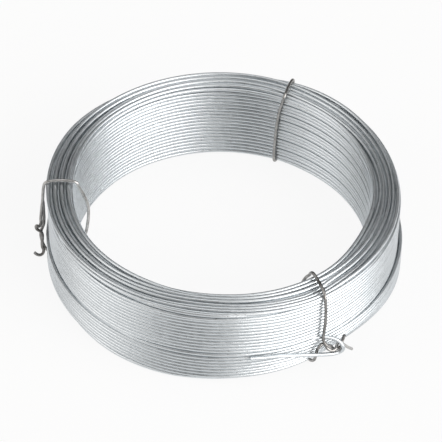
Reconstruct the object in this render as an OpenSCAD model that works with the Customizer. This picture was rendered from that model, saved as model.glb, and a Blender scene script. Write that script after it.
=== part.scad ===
// Coil of galvanised electric fence wire, lying flat, held by three tie wires.
// Origin: on the coil's axis, at the level of the floor that the tie wires rest on. +Z is up.

/* [Wire] */
// Diameter of the fence wire
wire_d = 2; // [1.6:0.1:2.2]
// Diameter of the tie wires
tie_d = 1.5; // [1.2:0.1:1.6]

/* [Coil] */
// Distance from one turn to the next
pitch = 2; // [1.9:0.02:2]
// Radius of the innermost turns at the top, to the middle of the wire
inner_r = 72; // [71.5:0.1:72.5]
// How much wider the bore is at the bottom
inner_flare = 1.8; // [1:0.1:2]
// Rows of turns up the bore
inner_rows = 22; // [20:1:22]
// Radius of the upper band of outer turns, to the middle of the wire
upper_r = 83; // [82.5:0.1:83.5]
// Turns in the upper band
upper_rows = 12; // [10:1:12]
// Radius of the lower band of outer turns, to the middle of the wire
lower_r = 85; // [84.5:0.1:85]
// Turns in the lower band
lower_rows = 7; // [5:1:7]
// Layers of turns wound over the innermost one
layers = 7; // [6:1:7]
// Distance from one layer to the next, which lies in its grooves
layer_step = 1.53; // [1.5:0.01:1.55]
// Turns across the bottom face
bottom_rows = 6; // [5:1:6]

/* [Ties] */
// Direction of the left tie, counter-clockwise from +X
left_at = 180; // [170:1:190]
// Direction of the back tie
back_at = 68; // [55:1:80]
// Direction of the front tie, which the wire's free end hooks round
front_at = 303; // [302:1:304]

/* [Hidden] */
$fn = 48;

// Each turn is drawn a little fat, so that neighbours merge into one solid.
turn_d = 1.04 * wire_d;
// The coil stands on the ties that pass under it, a hair clear of them.
coil_z = tie_d + 0.1;
coil_h = (inner_rows - 1) * pitch + turn_d;
low_z = turn_d / 2;
top_z = coil_h - turn_d / 2;
// First turn of each outer band: there is a ledge between the two.
lower_z = 3;
upper_z = 18.1;

wire_sides = 10;
tie_sides = 8;
// Half the distance between the two strands of a twist
strand_gap = 0.64 * tie_d;

// Middle of each turn that shows, round the section as [radius, height]
bore_turns = [for (i = [0:inner_rows - 1])
    [inner_r + inner_flare * (1 - i / (inner_rows - 1)), low_z + i * pitch]];
top_turns = [for (i = [1:layers])
    [inner_r + i * layer_step, top_z - (i % 2) * pitch / 2]];
upper_turns = [for (i = [upper_rows - 1:-1:0]) [upper_r, upper_z + i * pitch]];
lower_turns = [for (i = [lower_rows - 1:-1:0]) [lower_r, lower_z + i * pitch]];
bottom_turns = [for (i = [bottom_rows - 1:-1:1])
    [inner_r + inner_flare + i * pitch, low_z]];
section = concat(bore_turns, top_turns, upper_turns, lower_turns, bottom_turns);

// Free end of the wire: it leaves the ledge between the bands, passes behind the front tie,
// turns back round the tie's twist and lies along the outside. [radius, angle, height]
end_route = [
    [82.6, 292, 19.2], [83.4, 295.5, 19], [84.2, 298.5, 18.8], [84.9, 301, 18.7],
    [86.3, 303.4, 18.4], [88.2, 305.2, 17.7], [90.2, 306.5, 16.4], [91.9, 307.1, 14.3],
    [92.2, 307.3, 11.6], [91.4, 306.9, 9.3], [90.4, 305.2, 8.2], [89.7, 302.5, 8.9],
    [89.3, 299.5, 10.8], [88.8, 296, 12.8], [88, 292, 14.4], [87.3, 288, 15.8],
    [87.2, 283.5, 17], [87.2, 278.5, 18]];

// Routes of the ties as [outwards, along the rim, height], each in its own direction.
// A loop starts where the twist begins: up the outside, over the top, down the bore and
// back under the coil.
left_twist = [
    [87.2, 1.2, 33], [87.4, 1.4, 29.5], [87.6, 1.6, 26], [87.8, 1.8, 22.5], [88.1, 2, 19],
    [88.4, 2.3, 15.5], [88.6, 2.6, 12], [88.6, 2.8, 8.5], [88.4, 2.9, 5]];
left_loop = [
    [86.9, 0.6, 37.5], [86.6, 0.8, 42], [85, 0.8, 45.2], [81, 0.4, 46.5], [77, 0.2, 46.7],
    [73.5, 0.5, 46.7], [71.7, 0.7, 46.6], [70.3, 0.9, 45.6], [69.8, 1, 43.9], [68.4, 1, 40.6],
    [66.8, 1, 36.4], [65.6, 1, 31.4], [65.4, 1, 26], [65.9, 1, 20.1], [67.1, 1, 13],
    [69, 1.2, 7], [71.3, 1.3, 3], [71.9, 1.4, 1.7], [73, 1.5, 0.95], [74.4, 1.5, 0.78],
    [79, 1.6, 0.76], [83.5, 1.7, 0.77], [85, 1.8, 0.96], [86.8, 2.2, 2.4]];
left_hook = [[89, 4.2, 2.2], [90, 5, 1.5], [91.2, 5.2, 2], [91.9, 5.2, 3.2]];

back_twist = [
    [88.2, -0.4, 25], [88.4, 0.2, 23], [88.5, 0.7, 21], [88.6, 1.1, 19], [88.7, 1.4, 17],
    [88.7, 1.6, 15], [88.7, 1.7, 13]];
back_loop = [
    [87.2, 0.7, 28.5], [86.9, 0, 34], [86.5, -0.6, 42], [85, -0.9, 45.2], [81, -1.1, 46.5],
    [76, -1.5, 46.7], [73, -1.9, 46.7], [71.3, -2, 46.5], [70.2, -1.9, 45.4],
    [69.8, -1.6, 43.5], [69.9, -0.8, 40], [70.1, 0.1, 36], [70.4, 0.8, 30], [70.8, 1.5, 22.5],
    [71.2, 1.9, 15.3], [71.6, 2.1, 8], [71.5, 2, 3.4], [71.9, 1.9, 1.7], [73, 1.8, 0.95],
    [74.4, 1.6, 0.78], [79, 0.7, 0.76], [83.5, -0.4, 0.77], [85, -0.9, 0.96],
    [86.8, -1.8, 2.4], [87.1, -2.8, 7], [87.1, -3.4, 14], [87.1, -3.2, 20], [87.2, -2.2, 25]];
back_end_a = [[88.9, 3, 10.6], [89.3, 4.4, 9.2]];
back_end_b = [[89, 0.3, 10.6], [89.4, -0.8, 8.8]];

front_twist = [
    [88.6, -0.6, 16], [89, 0.3, 14.8], [89.3, 1.3, 13.5], [89.5, 2.4, 12.4],
    [89.5, 3.6, 11.8], [89.4, 4.9, 11.6], [89.1, 6.2, 11.8], [88.9, 7.4, 12.3]];
front_loop = [
    [87.8, -1.7, 18.9], [87.2, -1.5, 22], [87, -1.1, 29], [87, -1, 36], [86.8, -1.1, 41.5],
    [86, -0.9, 44.8], [83.8, -0.2, 46.5], [80.7, 0.5, 46.9], [77.5, 1.2, 46.8],
    [73.8, 1.5, 47], [71.6, 1.3, 46.9], [70.2, 1.1, 45.6], [69.4, 0.9, 43.9], [67.3, 0.5, 40.5],
    [65.4, 0, 35], [64.8, -0.5, 28], [65.2, -1.2, 20], [67, -1.9, 12], [69.2, -2.4, 7],
    [71.3, -2.8, 3], [71.9, -2.9, 1.7], [73, -3, 0.95], [74.4, -3.1, 0.78], [79, -3.5, 0.76],
    [83.5, -4, 0.77], [85, -4.3, 0.96], [86.8, -4.8, 2.4], [87.1, -5, 7], [87.1, -4.8, 12],
    [87.6, -3.4, 15.3]];
front_end_a = [[88.6, 8.8, 13.9], [88.5, 9.8, 16.6]];
front_end_b = [[88.7, 9.4, 10.6], [88.7, 12, 7.4], [88.5, 14.6, 4.6]];

// A point of a round path, from radius, angle and height
function around(p) = [p[0] * cos(p[1]), p[0] * sin(p[1]), p[2]];

function reversed(list) = [for (i = [len(list) - 1:-1:0]) list[i]];

// Points along a smooth curve through the given ones, steps of them for each span
function smooth(pts, steps) = concat(
    [for (i = [0:len(pts) - 2], k = [0:steps - 1])
        let (a = pts[max(i - 1, 0)], b = pts[i], c = pts[i + 1],
             d = pts[min(i + 2, len(pts) - 1)], t = k / steps)
        (2 * b + (c - a) * t + (2 * a - 5 * b + 4 * c - d) * t * t
            + (3 * b - a - 3 * c + d) * t * t * t) / 2],
    [pts[len(pts) - 1]]);

// One strand of a twisted pair: it winds about the axis at the strand's own distance
function strand(axis, start, turns) = [for (i = [0:len(axis) - 1])
    let (last = len(axis) - 1,
         along = axis[min(i + 1, last)] - axis[max(i - 1, 0)],
         run = norm([along[1], along[2]]),
         side = [0, -along[2] / run, along[1] / run],
         a = start + 360 * turns * i / last)
    axis[i] + strand_gap * (cos(a) * [1, 0, 0] + sin(a) * side)];

function unit(v) = v / norm(v);

// Direction of the path at a point
function heading(path, i) =
    unit(path[min(i + 1, len(path) - 1)] - path[max(i - 1, 0)]);

// Sideways direction at each point, carried along the path so that the tube doesn't twist
function sideways(path, i = 0, before = undef) =
    let (h = heading(path, i),
         guess = before == undef ? (abs(h[2]) < 0.9 ? [0, 0, 1] : [1, 0, 0]) : before,
         s = unit(guess - (guess * h) * h))
    i == len(path) - 1 ? [s] : concat([s], sideways(path, i + 1, s));

// Round wire of diameter d along a path, with flat cut ends
module wire(path, d, sides) {
    across = sideways(path);
    rings = [for (i = [0:len(path) - 1], k = [0:sides - 1])
        let (a = 360 * k / sides)
        path[i] + d / 2 * (cos(a) * across[i] + sin(a) * cross(heading(path, i), across[i]))];
    skin = [for (i = [0:len(path) - 2], k = [0:sides - 1])
        let (a = i * sides + k, b = i * sides + (k + 1) % sides)
        [a, a + sides, b + sides, b]];
    first_cap = [for (k = [0:sides - 1]) k];
    last_cap = [for (k = [sides - 1:-1:0]) (len(path) - 1) * sides + k];
    polyhedron(rings, concat(skin, [first_cap, last_cap]), convexity = 10);
}

// The wound turns as one turned solid: a plain core, with the turns that show round it
module turns() {
    translate([0, 0, coil_z]) rotate_extrude($fn = 180) union() {
        polygon(section);
        for (p = section) translate(p) circle(d = turn_d);
    }
}

module coil_wire() {
    color("silver") union() {
        turns();
        wire(smooth([for (p = end_route) around(p)], 3), wire_d, wire_sides);
    }
}

module tie_wire_left() {
    color("darkgray") rotate([0, 0, left_at]) wire(smooth(concat(
        reversed(left_hook), reversed(strand(left_twist, 90, 1)), left_loop,
        reversed(strand(left_twist, 270, 1))), 2), tie_d, tie_sides);
}

module tie_wire_back() {
    color("darkgray") rotate([0, 0, back_at]) wire(smooth(concat(
        reversed(back_end_a), reversed(strand(back_twist, 0, 1)), back_loop,
        strand(back_twist, 180, 1), back_end_b), 2), tie_d, tie_sides);
}

module tie_wire_front() {
    color("darkgray") rotate([0, 0, front_at]) wire(smooth(concat(
        reversed(front_end_a), reversed(strand(front_twist, 0, 1)), front_loop,
        strand(front_twist, 180, 1), front_end_b), 2), tie_d, tie_sides);
}

coil_wire();
tie_wire_left();
tie_wire_back();
tie_wire_front();
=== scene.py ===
# %% [markdown]
# # A coil of galvanised fence wire
#
# The real thing is one long steel wire, wound into a ring that lies flat, and three short tie
# wires that stop it from springing open. The ring is about 172 mm across and 44 mm high.
#
# The solid model gives the outer size, the ties and the places of everything. Here each part is
# modelled again with the detail that an eye looks for: every turn of wire that shows is a round
# wire of its own, and no two of them run quite alike. The turns inside the winding never show,
# so one plain core stands in for them.

# %% Load the solid model
import math
import bpy
import numpy as np
from mathutils import Matrix, Vector


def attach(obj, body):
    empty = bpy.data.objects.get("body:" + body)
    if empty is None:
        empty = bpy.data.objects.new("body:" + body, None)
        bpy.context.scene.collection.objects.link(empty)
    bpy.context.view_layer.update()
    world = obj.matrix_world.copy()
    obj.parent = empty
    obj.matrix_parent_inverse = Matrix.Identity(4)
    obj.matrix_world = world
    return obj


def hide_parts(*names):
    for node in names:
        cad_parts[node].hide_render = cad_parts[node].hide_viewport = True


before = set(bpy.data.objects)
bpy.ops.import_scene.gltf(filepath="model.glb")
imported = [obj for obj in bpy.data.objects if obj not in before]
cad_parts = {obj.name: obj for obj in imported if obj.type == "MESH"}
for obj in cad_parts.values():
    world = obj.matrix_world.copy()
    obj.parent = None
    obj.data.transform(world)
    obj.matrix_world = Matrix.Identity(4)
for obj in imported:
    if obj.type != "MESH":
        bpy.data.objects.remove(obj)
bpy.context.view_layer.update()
MM = 0.001

# %% [markdown]
# ## The camera
#
# A long lens from far away keeps the ring's ellipse true: a short lens close by would swell the
# near side. The camera looks down at 44 degrees, along +Y, and is turned by one degree about its
# own line of sight. Its three directions are worked out first and then put together as a matrix,
# so that no turn has to be found by trial.

# %% Make the camera
PITCH_DOWN = math.radians(43.785)
ROLL = math.radians(1.156)
forward = Vector((0, math.cos(PITCH_DOWN), -math.sin(PITCH_DOWN)))
level_up = Vector((0, math.sin(PITCH_DOWN), math.cos(PITCH_DOWN)))
right = math.cos(ROLL) * Vector((1, 0, 0)) + math.sin(ROLL) * level_up
up = right.cross(forward)

lens = bpy.data.cameras.new("camera")
lens.sensor_width = 36
lens.lens = 195.5
lens.clip_end = 20
camera = bpy.data.objects.new("camera", lens)
camera.matrix_world = Matrix.Translation(Vector((-1.751, -834.608, 821.890)) * MM) @ Matrix(
    (right, up, -forward)).transposed().to_4x4()
bpy.context.scene.collection.objects.link(camera)
bpy.context.scene.camera = camera
bpy.context.scene.view_settings.view_transform = "Standard"
print("camera looks down by", round(math.degrees(PITCH_DOWN), 1), "degrees")

# %% [markdown]
# ## Materials
#
# Both wires are low-carbon steel, drawn through a die and then dipped in molten zinc. Fresh zinc
# is a satin metal. The wiping that follows the dip leaves faint streaks along the wire, the zinc
# dulls in soft patches, and a few dark specks of dross stay in it. The tie wire looks duller and
# greyer. On the ties there is also painted light and shade: the twists are painted darkest, as
# the shade between their strands, and each tie is lighter or darker for the light that falls on it.
#
# A picture of metal could be wrapped round the wires, but it would show seams and one fixed
# size. Noise textures have neither. The streaks come from one noise, stretched along the turns:
# it is read in coordinates whose third axis changes fast across a wire and hardly at all along
# it. Two more noises give the patches and the specks. All three also keep the base colour within
# a narrow range, because in a metal the light it mirrors does most of the work.

# %% A function for shader nodes and one for colours
def add_node(tree, kind, inputs=None, **settings):
    """Adds one shader node. Its inputs are plain values, or sockets to link from."""
    made = tree.nodes.new("ShaderNode" + kind)
    for name, value in settings.items():
        setattr(made, name, value)
    for name, value in (inputs or {}).items():
        if isinstance(value, bpy.types.NodeSocket):
            tree.links.new(value, made.inputs[name])
        else:
            made.inputs[name].default_value = value
    return made


def colour(code):
    """Linear red, green, blue and alpha of an sRGB hex colour such as "c8ccd0"."""
    parts = [int(code[i:i + 2], 16) / 255 for i in (0, 2, 4)]
    return [c / 12.92 if c <= 0.04045 else ((c + 0.055) / 1.055) ** 2.4 for c in parts] + [1]


def new_material(name):
    """An empty material: its node tree and its output node."""
    made = bpy.data.materials.new(name)
    made.use_nodes = True
    made.node_tree.nodes.clear()
    return made, made.node_tree, add_node(made.node_tree, "OutputMaterial")


# %% Galvanised steel
def galvanised(name, worn, bright, rough):
    """Zinc-coated drawn steel wire: satin grey, faintly streaked along the wire, with specks."""
    made, tree, output = new_material(name)
    here = add_node(tree, "TexCoord").outputs["Object"]
    split = add_node(tree, "SeparateXYZ", {"Vector": here}).outputs
    level = add_node(tree, "CombineXYZ", {"X": split["X"], "Y": split["Y"]})
    radius = add_node(tree, "VectorMath", {0: level.outputs[0]}, operation="LENGTH")
    lean = add_node(tree, "Math", {0: radius.outputs["Value"], 1: 1.3, 2: split["Z"]},
                    operation="MULTIPLY_ADD")
    drawn = add_node(tree, "CombineXYZ", {"X": split["X"], "Y": split["Y"],
                                          "Z": lean.outputs[0]})
    long_way = add_node(tree, "Mapping", {
        "Vector": drawn.outputs[0],
        "Scale": (1 / STREAK_LONG, 1 / STREAK_LONG, 1 / STREAK_WIDE)})
    streaks = add_node(tree, "TexNoise", {"Vector": long_way.outputs[0], "Scale": 1.0,
                                          "Detail": 3.0, "Roughness": 0.55})
    cloud = add_node(tree, "TexNoise", {"Vector": here, "Scale": 1 / CLOUD, "Detail": 3.0})
    specks = add_node(tree, "TexNoise", {"Vector": here, "Scale": 1 / SPECK, "Detail": 1.0})
    # This attribute holds a random tone on each coil turn, and painted light and shade along the ties.
    turn = add_node(tree, "Attribute", attribute_name="tone_and_painted_shade")
    tone = add_node(tree, "Math", {0: streaks.outputs["Fac"], 1: cloud.outputs["Fac"]})
    tone = add_node(tree, "Math", {0: turn.outputs["Fac"], 1: 0.35, 2: tone.outputs[0]},
                    operation="MULTIPLY_ADD")
    zinc = add_node(tree, "MapRange", {"Value": tone.outputs[0], "From Min": 0.8,
                                       "From Max": 1.55})
    skin_tone = add_node(tree, "Mix", data_type="RGBA")
    tree.links.new(zinc.outputs[0], skin_tone.inputs[0])
    skin_tone.inputs[6].default_value = colour(worn)
    skin_tone.inputs[7].default_value = colour(bright)
    spot = add_node(tree, "MapRange", {"Value": specks.outputs["Fac"], "From Min": 0.69,
                                       "From Max": 0.75, "To Max": 0.7})
    spotted = add_node(tree, "Mix", data_type="RGBA")
    tree.links.new(spot.outputs[0], spotted.inputs[0])
    tree.links.new(skin_tone.outputs[2], spotted.inputs[6])
    spotted.inputs[7].default_value = colour("6f6e6a")
    gloss = add_node(tree, "MapRange", {"Value": cloud.outputs["Fac"], "From Min": 0.3,
                                        "From Max": 0.7, "To Min": rough - 0.04,
                                        "To Max": rough + 0.05})
    bump = add_node(tree, "Bump", {"Height": streaks.outputs["Fac"], "Strength": 0.12,
                                   "Distance": 0.01 * MM})
    skin = add_node(tree, "BsdfPrincipled", {
        "Base Color": spotted.outputs[2], "Metallic": 1.0, "Roughness": gloss.outputs[0],
        "Normal": bump.outputs[0]})
    tree.links.new(skin.outputs[0], output.inputs["Surface"])
    return made


STREAK_LONG = 25 * MM
STREAK_WIDE = 0.25 * MM  # on real wire they are finer, perhaps 0.1 mm, which is too fine to show
CLOUD = 3 * MM
SPECK = 0.6 * MM
wire_zinc = galvanised("hot-dip galvanised drawn steel wire", "c6cbce", "d5dadd", 0.35)
tie_zinc = galvanised("galvanised tie wire", "6d6b69", "c2c1bf", 0.3)

# %% [markdown]
# ## One turn of wire
#
# On the real coil one wire runs on from turn to turn. Each turn moves along by one wire's
# thickness, which over a whole round is a slope of less than half a degree, so that a closed
# ring looks the same and is far simpler.
#
# A curve with a round bevel would give such a ring too. Spinning the wire's section round the
# coil's axis gives a mesh at once, with the same points in every copy. It is modelled once.
# Every turn that shows is a copy of it with its own mesh, moved to its own radius and height.

# %% Spin the master turn
WIRE_R = 0.95 * MM
TURN_R = 80 * MM
WIRE_SIDES = 10
TURN_STEPS = 240

bpy.ops.object.select_all(action="DESELECT")
bpy.ops.mesh.primitive_circle_add(vertices=WIRE_SIDES, radius=WIRE_R, location=(TURN_R, 0, 0),
                                  rotation=(math.pi / 2, 0, 0))
bpy.ops.object.transform_apply()
bpy.ops.object.mode_set(mode="EDIT")
bpy.ops.mesh.select_all(action="SELECT")
bpy.ops.mesh.spin(steps=TURN_STEPS, angle=2 * math.pi, center=(0, 0, 0), axis=(0, 0, 1))
bpy.ops.mesh.select_all(action="SELECT")
bpy.ops.mesh.remove_doubles(threshold=0.001 * MM)
bpy.ops.mesh.normals_make_consistent(inside=False)
bpy.ops.object.mode_set(mode="OBJECT")
bpy.ops.object.shade_smooth()
master_turn = bpy.context.object
print("one turn:", len(master_turn.data.polygons), "faces")

# %% [markdown]
# A turn's radius and height are given at a few places round the coil, and blended
# smoothly between them. A slow wander on top, of a few hundredths of a millimetre, stops the
# turns from looking like a screw thread.

# %% Where a turn runs
chance = np.random.default_rng(7)
DEGREES = np.arange(360)


def run_round(places):
    """Smooth value at each degree round the coil, from {degree: value}."""
    stops = sorted(places)
    plain = np.interp(DEGREES, stops, [places[s] for s in stops], period=360)
    waves = np.fft.fft(plain) * np.exp(-0.5 * (2 * math.pi * np.fft.fftfreq(360) * 4) ** 2)
    return np.real(np.fft.ifft(waves))


def wobble(size):
    """A slow, uneven wander round the coil, of about this size."""
    values = np.zeros(360)
    for waves in range(2, 11):
        values += chance.normal() / waves ** 0.6 * np.cos(
            np.radians(waves * DEGREES + chance.uniform(0, 360)))
    return values * size / 1.4


def set_shade(piece, value):
    """Gives the piece, or each of its points, its tone value: random on a turn, painted light and shade
    on a tie.
    """
    shade = piece.data.attributes.new("tone_and_painted_shade", "FLOAT", "POINT")
    shade.data.foreach_set("value", value + np.zeros(len(piece.data.vertices), np.float32))


def lay_turn(radius, height):
    """A copy of the master turn on this radius and height, in mm at each degree."""
    turn = master_turn.copy()
    turn.data = master_turn.data.copy()
    bpy.context.scene.collection.objects.link(turn)
    co = np.empty(len(turn.data.vertices) * 3)
    turn.data.vertices.foreach_get("co", co)
    x, y, z = co.reshape(-1, 3).T
    angle = np.degrees(np.arctan2(y, x)) % 360
    out = np.hypot(x, y) - TURN_R + np.interp(angle, DEGREES, radius, period=360) * MM
    rise = z + np.interp(angle, DEGREES, height, period=360) * MM
    co = np.stack([out * np.cos(np.radians(angle)), out * np.sin(np.radians(angle)), rise], 1)
    turn.data.vertices.foreach_set("co", co.ravel())
    set_shade(turn, chance.uniform())
    return turn


def finish_piece(name, parts, material, nodes):
    """Joins the parts into one named piece that rides on the coil's only body."""
    bpy.ops.object.select_all(action="DESELECT")
    for part in parts:
        part.select_set(True)
    bpy.context.view_layer.objects.active = parts[0]
    if len(parts) > 1:
        bpy.ops.object.join()
    piece = bpy.context.object
    piece.name = piece.data.name = name
    if "tone_and_painted_shade" not in piece.data.attributes:
        set_shade(piece, 0.5)
    piece.data.materials.clear()
    piece.data.materials.append(material)
    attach(piece, "root")
    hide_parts(*nodes)
    print(name, len(piece.data.vertices), "points")
    return piece


# %% [markdown]
# ## The outer face
#
# The turns lie in two bands, thirteen above and eight below, with a ledge between them. It looks
# as if the lower band was wound one layer further out, and as if its lowest turns slipped inward
# at the front, so that the ring stands on a narrower foot there. The bands could be two plain
# cylinders with a bump pattern, but a wall of real wires catches the light in the right way by
# itself, and a gap between two turns becomes a real dark line.
#
# Each outline below is a few {degree: mm} places, counted round from +X.

# %% Lay the outer turns
UPPER = {0: 82.55, 20: 82.7, 30: 83.0, 45: 83.5, 60: 83.7, 90: 83.5, 120: 83.6, 150: 83.9,
         180: 83.6, 200: 84.0, 225: 84.9, 240: 85.2, 260: 85.25, 280: 85.1, 300: 84.6, 320: 84.0,
         340: 83.2}
LOWER = {0: 85.0, 30: 84.9, 150: 84.9, 180: 85.1, 200: 85.0, 225: 84.9, 240: 85.1, 260: 84.9,
         280: 84.6, 300: 84.4, 320: 84.8, 340: 85.0}
BOTTOM_OUTER = {180: 84.2, 200: 83.5, 210: 83.6, 220: 84.3, 232: 85.0, 255: 84.8, 270: 83.9,
                280: 83.2, 290: 82.4, 300: 81.0, 312: 79.6, 325: 81.2, 340: 84.0, 0: 84.8, 90: 84.5}
BOTTOM_OUTER_Z = {200: 2.6, 222: 2.0, 235: 1.6, 250: 1.7, 262: 2.6, 280: 3.1, 300: 3.4, 320: 3.2,
                  340: 2.6}
TUCKED_IN = {270: 0, 282: -0.4, 290: -1.0, 297: -1.7, 304: -2.9, 312: -4.0, 322: -3.2, 334: -1.2,
             345: 0}
SUNK_FIRST = {0: 0, 180: 0.5, 192: 0.8, 208: 0.75, 230: 0.6, 245: 0.1, 290: 0.1, 300: -0.1, 335: 0}
SUNK_SECOND = {238: 0, 248: 0.25, 285: 0.25, 300: 0.1, 320: 0}
CLIMB = {215: 0, 225: -0.3, 235: -0.55, 241: 0, 247: 0.75, 254: 1.05, 262: 1.2, 270: 1.2, 276: 1.05,
         282: 0.6, 290: 0}
LOW_FIRST = {225: 0, 245: 0.6, 265: 0.4, 290: 0.2, 305: 0.1, 320: 0}
UPPER_TURNS = 13
UPPER_FROM = 18.05
UPPER_PITCH = 1.975
LOWER_FROM = 4.0
LOWER_PITCH = 2.0
LOWER_TURNS = 7  # and one more below them, on an outline of its own
WANDER = 0.045
TUCKED_SHARE = (1.0, 0.7, 0.4, 0.15, 0, 0, 0)  # of each lower turn, from the lowest up

upper_r = run_round(UPPER)
lower_r = run_round(LOWER)
tucked = run_round(TUCKED_IN)
upper_shift = np.zeros((UPPER_TURNS, 360))
upper_shift[0] = -run_round(SUNK_FIRST)
upper_shift[1] = -run_round(SUNK_SECOND)
upper_rise = np.zeros((UPPER_TURNS, 360)) + run_round(CLIMB)
upper_rise[0] = 0.6 * np.maximum(run_round(CLIMB), 0) - 0.3 * run_round(LOW_FIRST)
upper_rise[1] *= 0.85
upper_rise[12] *= 0.3

upper_band = [lay_turn(upper_r + upper_shift[k] + wobble(WANDER),
                       UPPER_FROM + UPPER_PITCH * k + upper_rise[k] + wobble(WANDER))
              for k in range(UPPER_TURNS)]
lower_band = [lay_turn(lower_r + tucked * TUCKED_SHARE[k] + wobble(WANDER),
                       LOWER_FROM + LOWER_PITCH * k + wobble(WANDER))
              for k in range(LOWER_TURNS)]
lower_band.append(lay_turn(run_round(BOTTOM_OUTER), run_round(BOTTOM_OUTER_Z)))
finish_piece("turns_outer_face", upper_band + lower_band, wire_zinc,
             ["coil_wire"])

# %% [markdown]
# ## The bore
#
# The bore opens by half a millimetre towards the floor, as if its drum tapered. At the back
# right the turns lie in small groups with wider gaps between them, as if they had come a little
# loose. Moving the turn on each side of a gap apart is all it takes.

# %% Lay the turns in the bore
BORE = {0: 70.9, 35: 71.3, 50: 71.3, 70: 71.8, 90: 72.3, 120: 73.0, 150: 73.3, 180: 73.4,
        210: 73.0, 240: 72.4, 270: 72.1, 300: 72.0, 320: 71.2, 340: 70.6}
BORE_PITCH = 2.155
BORE_LIFT = {75: 0, 60: 0.45, 35: 0.5, 10: 0, 180: 0}
LOOSE = {78: 0, 66: 0.2, 15: 0.2, 0: 0, 180: 0}
OPEN_AFTER = (0, 3, 5, 8, 11, 14)
TIED_UP = {60: 0, 68: 0.55, 76: 0, 172: 0, 180: 0.55, 188: 0, 295: 0, 303: 0.55, 311: 0}
BORE_TURNS = 19
BORE_TOP = 41.0
BORE_TAPER = 0.5

bore_r = run_round(BORE)
bore_lift = run_round(BORE_LIFT)
loose = run_round(LOOSE)
bore = []
for n in range(BORE_TURNS):
    z = BORE_TOP - BORE_PITCH * n
    nudge = loose * ((n in OPEN_AFTER) - (n - 1 in OPEN_AFTER))
    if n == BORE_TURNS - 1:  # the ties pass under this turn and hold it up
        nudge = nudge + run_round(TIED_UP)
    bore.append(lay_turn(bore_r + BORE_TAPER * (1 - z / BORE_TOP) + wobble(WANDER),
                         z + bore_lift * z / BORE_TOP + nudge + wobble(WANDER)))
finish_piece("turns_bore", bore, wire_zinc, ["coil_wire"])

# %% [markdown]
# ## The top face
#
# This is the part that makes the coil look wound and not machined. The last turns cross the end
# face in an easy spiral, change places under and over each other, and leave lower turns showing
# between them as dark bands.
#
# Each turn has a letter, from the bore outwards, and a list of places: radius, and how far it
# lies below the top. A turn that dips is covered by its neighbour. This is the simplest way of
# letting a turn come out from under another one without a crossing that looks modelled.

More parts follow.
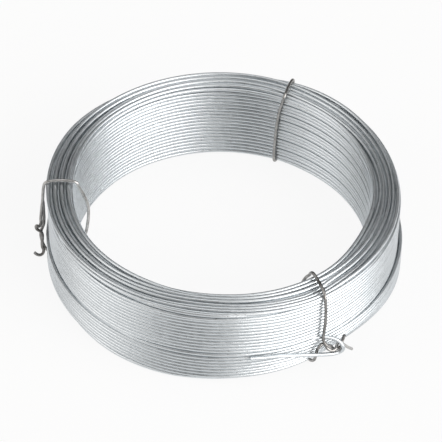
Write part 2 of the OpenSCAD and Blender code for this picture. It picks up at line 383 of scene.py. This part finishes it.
# %% Lay the turns on the top
TOP_Z = 44.3
TOP = {
    "a": {0: (70.9, -1.7), 20: (71.0, -1.7), 45: (71.7, -1.1), 58: (71.8, -1.3),
          75: (71.9, -1.4), 90: (72.1, -0.9), 110: (72.6, -0.7), 135: (73.2, -0.8),
          150: (73.4, -1.6), 175: (73.8, -1.9), 200: (74.4, -2.0), 240: (74.1, -2.1),
          255: (73.0, -2.4), 270: (72.1, -2.1), 300: (71.9, -1.8), 320: (71.2, -1.8),
          340: (70.5, -1.8)},
    "b": {0: (71.1, 0), 20: (71.3, 0), 45: (72.4, 0), 58: (72.7, 0), 75: (73.2, 0),
          90: (74.0, 0), 110: (74.5, 0), 130: (74.7, -0.1), 150: (74.6, -0.1), 165: (73.9, -0.2),
          177: (73.3, -0.7), 188: (73.1, -1.3), 200: (73.0, -1.6),
          225: (72.5, -1.7), 240: (72.2, -1.6), 255: (72.0, -0.9),
          268: (72.3, -0.3), 285: (72.9, 0), 300: (72.9, 0), 312: (72.7, 0), 320: (71.9, 0),
          328: (70.9, 0), 340: (70.3, -0.1)},
    "c": {0: (73.9, -0.3), 20: (74.1, -0.2), 45: (73.9, 0), 58: (74.6, 0), 75: (76.1, 0),
          90: (77.3, 0), 110: (77.2, 0), 130: (76.7, 0), 150: (76.3, 0), 175: (74.8, 0),
          200: (73.8, 0), 225: (73.3, 0), 240: (72.9, 0), 255: (73.0, -0.2), 270: (73.4, -0.8),
          285: (73.8, -1.2), 312: (73.9, -1.2), 325: (72.7, -1.2), 340: (72.2, -0.9)},
    "c_out": {0: (74.6, -1.6), 20: (75.1, -1.0), 45: (75.6, -0.7), 58: (76.1, -0.4),
              75: (75.0, -0.9), 90: (75.7, -0.7), 105: (75.8, -0.5), 130: (75.6, -0.5),
              150: (75.2, -0.9),
              175: (74.2, -1.0), 225: (74.4, -1.4), 300: (74.0, -1.6), 340: (73.6, -1.4)},
    "d_low": {0: (74.6, -1.6), 20: (75.2, -1.2), 45: (76.3, -0.9), 58: (76.9, -0.8),
              75: (77.7, -0.8), 90: (78.7, -0.6), 110: (78.8, -0.5), 130: (78.5, -0.8),
              145: (78.2, -1.5), 175: (76.4, -1.5), 200: (75.5, -1.5), 225: (74.8, -1.4),
              240: (74.2, -1.4), 300: (74.0, -1.6), 320: (74.0, -1.3)},
    "d": {0: (75.2, 0), 20: (76.0, 0), 45: (77.6, 0), 58: (78.3, 0), 75: (79.2, 0), 90: (80.1, 0),
          110: (80.4, 0), 130: (80.3, 0), 150: (79.8, 0), 175: (78.0, 0), 200: (77.0, 0),
          225: (76.2, 0), 240: (75.3, 0), 255: (74.5, 0), 270: (74.2, 0), 285: (74.6, 0),
          300: (74.8, 0), 312: (75.1, 0), 325: (74.8, 0)},
    "e_low": {0: (76.5, -1.2), 20: (77.2, -1.1), 45: (78.6, -0.9), 75: (80.5, -0.8),
              90: (81.5, -0.6), 110: (81.8, -0.5), 130: (81.6, -0.7), 148: (81.2, -1.4),
              175: (79.5, -1.5), 205: (78.8, -1.4), 225: (78.1, -0.5), 240: (77.3, -0.1),
              255: (76.4, 0), 265: (76.0, 0), 280: (76.3, 0), 290: (76.8, 0), 300: (77.2, 0),
              308: (76.4, -0.8), 322: (76.3, -1.1), 342: (76.1, -1.2)},
    "e": {0: (77.9, 0), 20: (78.4, 0), 45: (79.8, 0), 58: (80.8, 0), 75: (82.1, 0), 90: (82.9, 0),
          110: (83.1, 0), 130: (83.0, 0), 150: (82.7, 0), 175: (81.0, 0), 200: (80.5, 0),
          225: (79.9, 0), 240: (79.2, 0), 255: (78.5, 0), 265: (78.2, 0), 280: (79.1, -0.1),
          290: (80.0, 0), 298: (80.6, 0), 302: (79.6, -1.6), 307: (77.6, -0.4), 312: (77.7, 0),
          325: (77.6, 0),
          340: (77.4, 0)},
    "f_low": {0: (79.5, -1.6), 45: (80.6, -1.2), 90: (80.5, -2.4), 180: (80.5, -2.4),
              240: (79.6, -1.8), 270: (77.6, -1.3), 285: (78.0, -1.0), 300: (78.8, -0.9),
              312: (79.3, -1.1), 325: (78.8, -1.5), 342: (78.7, -1.6)},
    "f": {0: (79.9, -0.7), 20: (80.7, 0), 45: (82.9, 0), 57: (83.7, -0.4), 68: (84.1, -1.2),
          80: (83.4, -2.2), 110: (82.6, -2.4), 125: (83.4, -2.0), 135: (84.0, -1.7),
          150: (84.0, -1.5), 175: (82.7, -1.4), 200: (82.4, -1.2), 225: (81.8, -0.8),
          242: (81.3, -0.6), 258: (80.4, 0), 265: (80.1, 0), 280: (80.9, 0), 290: (81.5, 0),
          299: (82.0, 0), 304: (81.4, -1.2), 309: (80.6, 0), 317: (80.1, -0.7),
          326: (79.7, -1.1), 342: (79.6, -1.1)},
    "g": {0: (81.8, -0.3), 20: (82.1, -0.6), 40: (83.4, -1.5), 55: (83.2, -2.2), 115: (82.6, -2.6),
          130: (84.3, -1.6), 150: (85.2, -0.6), 175: (84.4, -0.2), 200: (84.0, -0.2),
          225: (83.2, 0), 240: (82.6, 0), 255: (81.9, 0), 265: (81.8, 0), 280: (82.5, 0),
          290: (83.1, 0), 299: (83.7, 0), 304: (83.0, -1.0), 309: (82.4, 0), 325: (82.3, 0),
          340: (82.4, 0)},
    "h": {0: (81.2, -2.6), 190: (81.8, -2.6), 200: (83.2, -1.8), 212: (84.6, -0.5),
          225: (84.5, -0.2), 238: (84.6, -0.1), 255: (84.0, 0), 265: (83.9, 0), 280: (84.3, -0.1),
          290: (84.7, -0.3), 300: (84.8, -0.7), 309: (84.1, -0.7), 320: (83.5, -1.2),
          335: (82.4, -2.4)},
    "i": {0: (82, -2.5), 225: (83.0, -2.3), 238: (83.6, -1.5), 248: (84.9, 0), 258: (85.1, 0),
          268: (85.0, -0.05), 278: (84.4, -0.8), 290: (83.4, -2.2), 320: (83, -2.4)},
}
top_turns = []
for name, places in TOP.items():
    radius = run_round({at: place[0] for at, place in places.items()})
    drop = run_round({at: place[1] for at, place in places.items()})
    top_turns.append(lay_turn(radius + wobble(0.04), TOP_Z + drop + wobble(0.03)))
print(len(top_turns), "turns on the top face")
finish_piece("turns_top_face", top_turns, wire_zinc, ["coil_wire"])

# %% [markdown]
# ## The bottom face
#
# It never shows in the main view. Six turns in two heights give the foot of the coil a true edge
# when it is seen from the side.

# %% Lay the turns underneath
BOTTOM_FROM = 75.9
BOTTOM_PITCH = 1.45
BOTTOM_Z = 2.6
BOTTOM_STEP = 0.9
BOTTOM_SHARE = (0, 0, 0.1, 0.35, 0.65, 0.95)  # how far each one follows the tucked-in foot

bottom_turns = [lay_turn(BOTTOM_FROM + BOTTOM_PITCH * n + tucked * share + wobble(0.08),
                         BOTTOM_Z + BOTTOM_STEP * (n % 2) + wobble(0.05))
                for n, share in enumerate(BOTTOM_SHARE)]
finish_piece("turns_bottom_face", bottom_turns, wire_zinc, ["coil_wire"])

# %% [markdown]
# ## The core
#
# Behind the turns that show lie more turns. Between two round wires only a sliver of them can be
# seen, so one solid is enough. It is spun from a section like the turns. Then each of its rings
# is moved in or out to stay just behind the wires all the way round. Where the real turns are
# bedded tightly the core comes further forward and the grooves are shallow; where they stand
# apart it lies deeper and the grooves are dark.

# %% Spin the core
FILL = {0: 0.3, 205: 0.3, 218: 0.45, 236: 0.45, 248: -0.2, 268: -0.2, 277: 0.25, 322: 0.2,
        340: 0.3}
LEDGE_FILL = {238: 0, 250: 0.5, 274: 0.5, 284: 0}
BORE_FILL = {0: 0.2, 70: 0.2, 85: -0.1, 97: -0.2, 140: -0.2, 160: -0.3, 200: -0.3}
CORE = ((0.45, 3.0, "bore"), (0, 41.0, "bore"), (0.7, 42.9, "bore"), (-1.6, 43.2, "upper"),
        (-1.5, 42.2, "upper"), (0, 41.2, "fill"), (0, 19.9, "fill"), (-0.6, 17.8, "ledge"),
        (0, 15.6, "ledge"), (0, 14.4, "fill_low"), (-0.3, 7.6, "tucked_part"),
        (-0.6, 3.6, "tucked"))  # beyond its outline, height, outline
bpy.ops.object.select_all(action="DESELECT")
bpy.ops.mesh.primitive_circle_add(vertices=len(CORE), radius=10 * MM, location=(TURN_R, 0, 0),
                                  rotation=(math.pi / 2, 0, 0))
bpy.ops.object.transform_apply()
core = bpy.context.object
core_rings = {"bore": bore_r + run_round(BORE_FILL), "upper": upper_r,
              "fill": upper_r + run_round(FILL), "fill_low": lower_r + run_round(FILL),
              "tucked": lower_r + tucked, "tucked_part": lower_r + 0.5 * tucked,
              "ledge": np.minimum(upper_r, lower_r) + run_round(FILL) + run_round(LEDGE_FILL)}
for point, row in zip(core.data.vertices, CORE):
    point.co = (TURN_R, 0, row[1] * MM)
bpy.ops.object.mode_set(mode="EDIT")
bpy.ops.mesh.select_all(action="SELECT")
bpy.ops.mesh.spin(steps=120, angle=2 * math.pi, center=(0, 0, 0), axis=(0, 0, 1))
bpy.ops.object.mode_set(mode="OBJECT")
for point in core.data.vertices:
    height = point.co.z / MM
    beyond, _, ring = min(CORE, key=lambda row: abs(row[1] - height))
    angle = math.atan2(point.co.y, point.co.x)
    radius = np.interp(math.degrees(angle) % 360, DEGREES, core_rings[ring], period=360) + beyond
    point.co.x = radius * MM * math.cos(angle)
    point.co.y = radius * MM * math.sin(angle)
bpy.ops.object.mode_set(mode="EDIT")
bpy.ops.mesh.select_all(action="SELECT")
bpy.ops.mesh.remove_doubles(threshold=0.001 * MM)
bpy.ops.mesh.normals_make_consistent(inside=False)
bpy.ops.object.mode_set(mode="OBJECT")
finish_piece("coil_core", [core], wire_zinc, ["coil_wire"])
bpy.data.objects.remove(master_turn)

# %% [markdown]
# ## Bent wires: the free end and the ties
#
# The coil's outer end comes off the ledge, goes round the front tie's twist and lies back along
# the outer face to a cut end. The ties are short wires bent by hand round the ring's section,
# with their two ends twisted together outside.
#
# A wire bent by hand is a smooth curve through a few bends, so each one is a Bezier curve with a
# round bevel, turned into a closed mesh with flat cut ends. The bends are written as if the tie
# lay on the X axis: distance from the coil's axis, distance sideways, height.

# %% A round wire along a route
def bend_wire(name, route, thickness):
    """A closed mesh of round wire through the route's points, in mm, with flat cut ends."""
    bpy.ops.object.select_all(action="DESELECT")
    bpy.ops.curve.primitive_bezier_curve_add(location=(0, 0, 0))
    path = bpy.context.object
    path.name = name
    path.data.splines.clear()
    spline = path.data.splines.new("BEZIER")
    spline.bezier_points.add(len(route) - 1)
    for point, place in zip(spline.bezier_points, route):
        point.co = Vector(place) * MM
        point.handle_left_type = point.handle_right_type = "AUTO"
    spline.resolution_u = 5
    path.data.dimensions = "3D"
    path.data.twist_mode = "MINIMUM"
    path.data.bevel_depth = thickness / 2 * MM
    path.data.bevel_resolution = 4
    path.data.use_fill_caps = True
    bpy.ops.object.convert(target="MESH")
    bpy.ops.object.mode_set(mode="EDIT")
    bpy.ops.mesh.select_all(action="SELECT")
    bpy.ops.mesh.remove_doubles(threshold=0.001 * MM)
    bpy.ops.mesh.normals_make_consistent(inside=False)
    bpy.ops.object.mode_set(mode="OBJECT")
    bpy.ops.object.shade_smooth_by_angle(angle=math.radians(50))
    return bpy.context.object


def around(radius, degrees, height):
    """A point from its distance from the coil's axis, its direction and its height."""
    return (radius * math.cos(math.radians(degrees)), radius * math.sin(math.radians(degrees)),
            height)


END_ROUTE = [
    (82.6, 292, 19.6), (83.4, 295.5, 19.4), (84.2, 298.5, 19), (84.9, 301, 18.7),
    (86.3, 303.4, 18.4), (88.2, 305.2, 17.7), (90.2, 306.5, 16.4), (91.9, 307.1, 14.3),
    (92.2, 307.3, 12.2), (91.6, 306.9, 10.4), (90.6, 305.2, 9.6), (89.7, 302.5, 10.5),
    (89.3, 299.5, 12.4), (88.8, 296, 14.2), (88, 292, 15.6), (87.3, 288, 16.7),
    (87.2, 283.5, 17.4), (87.2, 278.5, 18)]
END_D = 1.87
end = bend_wire("wire_end", [around(*p) for p in END_ROUTE], END_D)
finish_piece("wire_end", [end], wire_zinc, ["coil_wire"])

# %% [markdown]
# A twist is two wires wound about one line. The line is listed, and each wire goes
# round it at a fixed distance, half a turn apart. The tie's colour also changes along the wire and
# from tie to tie, as painted light and shade: the twists are painted darker, as the shade between
# their strands, and each tie is painted lighter or darker for the light that falls on it.

# %% The ties
TIE_D = 1.5


def strand(route, start, turns, gap=0.64 * TIE_D):
    """One strand of a twisted pair, which winds about the route."""
    axis = [np.array(place, float) for place in route]
    out = []
    for i, place in enumerate(axis):
        along = axis[min(i + 1, len(axis) - 1)] - axis[max(i - 1, 0)]
        run = math.hypot(along[1], along[2])
        side = np.array([0, -along[2] / run, along[1] / run])
        a = math.radians(start + 360 * turns * i / (len(axis) - 1))
        out.append(place + gap * (math.cos(a) * np.array([1, 0, 0]) + math.sin(a) * side))
    return out


def make_tie(name, at, route, node, painted_shades):
    """A tie from its route, given as if the tie lay on +X. Its painted shades, painted light and shade,
    are spaced along the wire.
    """
    turn = Matrix.Rotation(math.radians(at), 3, "Z")
    tie = bend_wire(name, [turn @ Vector(p) for p in route], TIE_D)
    along = np.linspace(0, 1, len(tie.data.vertices))
    set_shade(tie, np.interp(along, np.linspace(0, 1, len(painted_shades)), painted_shades))
    finish_piece(name, [tie], tie_zinc, [node])


left_route = [
    (87.2, -0.4, 33), (87, 0.1, 30.6), (86.9, 0.9, 27), (86.9, 1, 22.4), (87.3, 1.3, 18.4),
    (88.4, 1.9, 15.4), (88.8, 2, 13), (88.5, 2, 9.5), (87.5, 2, 5), (86.2, 1.9, 2.3), (84.9, 1.8, 0.96),
    (83.5, 1.7, 0.85), (79, 1.6, 0.83), (74.4, 1.5, 0.85), (73, 1.5, 1.05), (71.9, 1.4, 1.8),
    (71.3, 1.3, 3), (69, 1.2, 7), (67.1, 1, 13), (65.9, 1, 20.1), (65.4, 1, 26), (65.6, 1, 31.4),
    (66.8, 1, 36.4), (68.4, 1, 40.6), (69.8, 1, 43.9), (70.3, 0.9, 45.6), (71.7, 0.7, 46.6),
    (73.5, 0.5, 46.7), (77, 0.2, 46.7), (81.2, 0.4, 46.6), (85.4, 0.8, 45.5), (86.4, 0.9, 42.6),
    (86.8, 1, 39), (87.1, 1.4, 34.8), (87.7, 2, 30.1), (88.3, 2.5, 24), (88.7, 3, 19.8),
    (89.4, 3.7, 19.4), (90.3, 4.1, 20.2), (90.6, 4.2, 19), (89.8, 4.2, 17.6), (88.6, 3.9, 16.4),
    (87.9, 3.6, 14.2), (87.9, 3.6, 11.4), (88.2, 3.7, 8.4), (88.1, 3.7, 5.6),
    (87.6, 3.7, 3.2), (88.1, 4.3, 1.8), (89.2, 4.9, 1.4),
    (90.8, 5.2, 2), (91.9, 5.2, 3.2)]
# Painted light and shade on the left tie: lightest on its top bar, and darkest, a painted shade, at its
# twisted ear.
make_tie("tie_left", 180, left_route, "tie_wire_left",
         (0.3, 0, 0.3, 0.8, 0.9, 1, 1, 0.2, -0.8, -0.4, 0.2))

back_twist = [
    (88.2, -0.4, 25), (88.4, 0.2, 23), (88.5, 0.7, 21), (88.6, 1.1, 19), (88.7, 1.4, 17),
    (88.7, 1.6, 15), (88.7, 1.7, 13)]
back_loop = [
    (87.2, 0.7, 28.5), (86.9, 0, 34), (86.5, -0.6, 42), (85, -0.9, 45.2), (81, -1.1, 46.5),
    (76, -1.5, 46.7), (73, -1.9, 46.7), (71.3, -2, 46.5), (70.2, -1.9, 45.4),
    (69.8, -1.6, 43.5), (69.9, -0.8, 40), (70, 0.1, 36), (70.1, 0.8, 30), (70.2, 1.5, 22.5),
    (70.3, 1.9, 15.3), (70.3, 2.1, 8), (70.1, 2, 3.8), (70.5, 1.9, 2.1), (72.1, 1.8, 1),
    (74.4, 1.6, 0.83), (79, 0.7, 0.83), (83.5, -0.4, 0.83), (85.2, -0.9, 1),
    (87, -1.8, 2.4), (87.1, -2.8, 7), (87.1, -3.4, 14), (87.1, -3.2, 20), (87.2, -2.2, 25)]
back_end_a = [(88.9, 3, 10.6), (89.3, 4.4, 9.2)]
back_end_b = [(89, 0.3, 10.6), (89.4, -0.8, 8.8)]
# Painted light and shade on the back tie: one middle shade all along, for the light it gets.
make_tie("tie_back", 68, back_end_a[::-1] + strand(back_twist, 0, 1)[::-1] + back_loop
         + strand(back_twist, 180, 1) + back_end_b, "tie_wire_back", (0.4, 0.4))

front_twist = [
    (88.6, -0.6, 16), (89, 0.3, 14.8), (89.3, 1.3, 13.5), (89.5, 2.4, 12.4),
    (89.5, 3.6, 11.8), (89.4, 4.9, 11.6), (89.1, 6.2, 11.8), (88.9, 7.4, 12.3)]
front_loop = [
    (87.8, -1.7, 18.9), (87.6, -1.5, 22), (87.7, -1.1, 29), (87.6, -1, 36), (87.1, -1.1, 41.5),
    (86, -0.9, 44.8), (83.8, -0.2, 46.5), (80.7, 0.5, 46.9), (77.5, 1.2, 46.8),
    (73.8, 1.8, 46.9), (71.6, 1.9, 46.8), (70.2, 1.9, 45.6), (69.4, 1.8, 43.9), (67.3, 1.3, 40.5),
    (65.4, 0.7, 35), (64.8, 0, 28), (65.2, -0.9, 20), (67, -1.7, 12), (69, -2.3, 7),
    (70.2, -2.7, 3.4), (70.6, -2.9, 2), (72.1, -3, 1), (74.4, -3.1, 0.83), (78, -3.5, 0.85),
    (81.3, -4, 1.1), (83.3, -4.3, 2.5), (85.2, -4.7, 4.6), (86.6, -5, 7.2), (87.1, -4.8, 11),
    (87.6, -3.4, 15.3)]
front_end_a = [(88.6, 8.8, 13.9), (88.5, 9.8, 16.6)]
front_end_b = [(88.7, 9.4, 10.6), (88.7, 12, 7.4), (88.5, 14.6, 4.6)]
# Painted light and shade on the front tie: dark all along, a painted shade, and very light towards its
# last cut end, a painted highlight.
make_tie("tie_front", 303, front_end_a[::-1] + strand(front_twist, 0, 1)[::-1] + front_loop
         + strand(front_twist, 180, 1) + front_end_b, "tie_wire_front",
         (0.1, 0.1, 0, 0.1, 0.2, 0.2, 0.2, 0.1, 0.1, 0.3, 2))

# %% [markdown]
# ## Floor and light
#
# Bright metal shows its surroundings, so the surroundings are the light. Lamps would give small
# hard spots. Here the whole sky is dark, with a pale band at the horizon and five soft glows, as
# large soft boxes would give in a studio. The strongest stands at the front right, and with the
# one at the left it makes the two bright zones of the outer face.
#
# The floor is white. What a camera or a mirror-like surface sees of it is mostly its own even
# glow, which keeps the ground as pale as a paper sweep. The rest is a plain matt floor, so that
# the coil's shadow stays on it.

# %% The floor
FLOOR_GLOW = 0.9  # share of its look that is even glow: the rest is matt and takes the shadow

bpy.ops.object.select_all(action="DESELECT")
bpy.ops.mesh.primitive_plane_add(size=6, location=(0, 0, 0))
floor = bpy.context.object
floor.name = "floor"
paint, tree, output = new_material("white studio floor")
rays = add_node(tree, "LightPath").outputs
seen = add_node(tree, "Math", {0: rays["Is Camera Ray"], 1: rays["Is Glossy Ray"]},
                operation="MAXIMUM")
seen = add_node(tree, "Math", {0: seen.outputs[0], 1: rays["Is Transmission Ray"]},
                operation="MAXIMUM")
share = add_node(tree, "Math", {0: seen.outputs[0], 1: FLOOR_GLOW}, operation="MULTIPLY")
matt = add_node(tree, "BsdfDiffuse", {"Color": colour("d8d8d8")})
glow = add_node(tree, "Emission", {"Color": colour("ffffff"), "Strength": 1.0})
mix = add_node(tree, "MixShader", {0: share.outputs[0], 1: matt.outputs[0], 2: glow.outputs[0]})
tree.links.new(mix.outputs[0], output.inputs["Surface"])
floor.data.materials.append(paint)

# %% The sky
WARM = (1.04, 1.0, 0.97)
PLAIN = (1.0, 1.0, 1.0)
FALL_OFF = 12.0  # a glow is down to half its brightness about 20 degrees from its middle
GLOWS = (  # direction and height in degrees, brightness, tint
    (315, 30, 5.0, WARM),   # the big soft box at the front right
    (195, 30, 2.5, WARM),   # a smaller one at the left
    (345, 30, 2.0, PLAIN),  # a fill at the right, so that the big one fades out slowly
    (335, 5, 2.5, PLAIN),   # a low one, which shows further down on the wires' flanks
    (100, 75, 1.8, PLAIN))  # the ceiling, mostly for the top face
world = bpy.data.worlds.new("studio")
bpy.context.scene.world = world
world.use_nodes = True
tree = world.node_tree
tree.nodes.clear()
look = add_node(tree, "TexCoord").outputs["Generated"]
height = add_node(tree, "SeparateXYZ", {"Vector": look}).outputs["Z"]
glow = add_node(tree, "MapRange", {"Value": height, "From Min": 0.06, "From Max": 0.14,
                                   "To Min": 1.0, "To Max": 0.0}).outputs[0]
for azimuth, rise, strength, tint in GLOWS:
    azimuth, rise = math.radians(azimuth), math.radians(rise)
    towards = (math.cos(rise) * math.cos(azimuth), math.cos(rise) * math.sin(azimuth),
               math.sin(rise))
    facing = add_node(tree, "VectorMath", {0: look, 1: towards}, operation="DOT_PRODUCT")
    fall = add_node(tree, "Math", {0: facing.outputs["Value"], 1: FALL_OFF, 2: -FALL_OFF},
                    operation="MULTIPLY_ADD")
    patch = add_node(tree, "Math", {0: fall.outputs[0]}, operation="EXPONENT")
    glow = add_node(tree, "VectorMath", {
        0: patch.outputs[0], 1: [strength * c for c in tint], 2: glow},
        operation="MULTIPLY_ADD").outputs[0]
sky = add_node(tree, "Background", {"Color": glow})
tree.links.new(sky.outputs[0], add_node(tree, "OutputWorld").inputs["Surface"])
